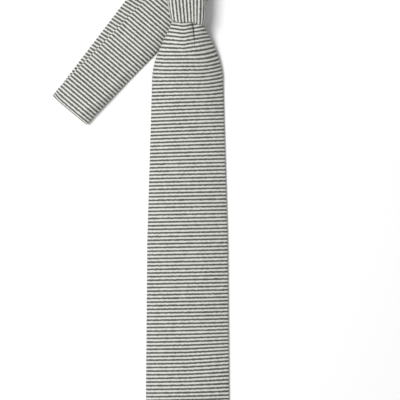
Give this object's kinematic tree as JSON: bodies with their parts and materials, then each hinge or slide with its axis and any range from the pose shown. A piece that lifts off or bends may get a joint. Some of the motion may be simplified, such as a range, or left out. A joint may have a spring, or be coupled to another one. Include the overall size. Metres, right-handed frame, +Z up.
{
  "type": "necktie",
  "caption": "Striped woven cotton necktie tied in a four-in-hand knot and laid flat: pointed front blade over a narrower tail, with the neck loop folded behind the knot.",
  "frame": {"origin": "on the table under the middle of the whole tie's box", "axes": "+Y along the tie from the front blade's tip to the knot, +Z up from the table, +X to the viewer's right when the tie is seen from above with its tip towards the viewer"},
  "size_m": [0.1618, 0.5332, 0.0263],
  "materials": {
    "striped_cotton": "matt plain-weave cotton with fine cross stripes, mid grey and off-white",
    "interlining": "brushed napped interlining, off-white",
    "tipping": "smooth twill lining, mid grey",
    "thread": "matt sewing thread",
    "label": "blank woven label"
  },
  "bodies": {
    "knot": {"wrap_shell": "striped_cotton", "wrap_interlining": "interlining", "throat_shell": "striped_cotton", "throat_interlining": "interlining"},
    "neck_loop": {"arm_a_shell": "striped_cotton", "arm_a_interlining": "interlining", "arm_b_shell": "striped_cotton", "arm_b_interlining": "interlining"},
    "loop_band": {"band_shell": "striped_cotton", "band_interlining": "interlining"},
    "tail": {"strand_shell": "striped_cotton", "strand_interlining": "interlining"},
    "tail_lower": {"tail_shell": "striped_cotton", "tail_interlining": "interlining", "tail_tipping": "tipping", "tail_slip_stitch": "thread", "tail_bar_tack": "thread"},
    "front_blade": {"blade_shell": "striped_cotton", "blade_interlining": "interlining", "blade_tipping": "tipping", "blade_slip_stitch": "thread", "blade_bar_tack": "thread", "keeper_loop": "striped_cotton", "care_label": "label"}
  },
  "joints": [
    {"name": "blade_lift", "type": "hinge", "parent": "knot", "child": "front_blade", "pos_m": [0.0374, 0.1674, 0.0216], "axis": [-1, 0, 0], "range_deg": [0, 80]},
    {"name": "loop_tighten", "type": "slide", "parent": "knot", "child": "neck_loop", "axis": [0, -1, 0], "range_m": [0, 0.0075], "deforming": ["arm_a_shell", "arm_a_interlining", "arm_b_shell", "arm_b_interlining"]},
    {"name": "tail_pull", "type": "slide", "parent": "neck_loop", "child": "tail", "axis": [0, -1, 0], "range_m": [0, 0.0075]},
    {"name": "tail_lift", "type": "hinge", "parent": "tail", "child": "tail_lower", "pos_m": [0.0363, 0.1644, 0.0155], "axis": [-1, 0, 0], "range_deg": [0, 40]},
    {"name": "loop_swing", "type": "hinge", "parent": "neck_loop", "child": "loop_band", "pos_m": [0.0574, 0.2394, 0.0034], "axis": [0, 0, 1], "range_deg": [-40, 0]}
  ],
  "couplings": [
    {"joint": "tail_pull", "follows": "loop_tighten", "ratio": 1},
    {"joint": "tail_lift", "follows": "blade_lift", "ratio": 0.5}
  ]
}
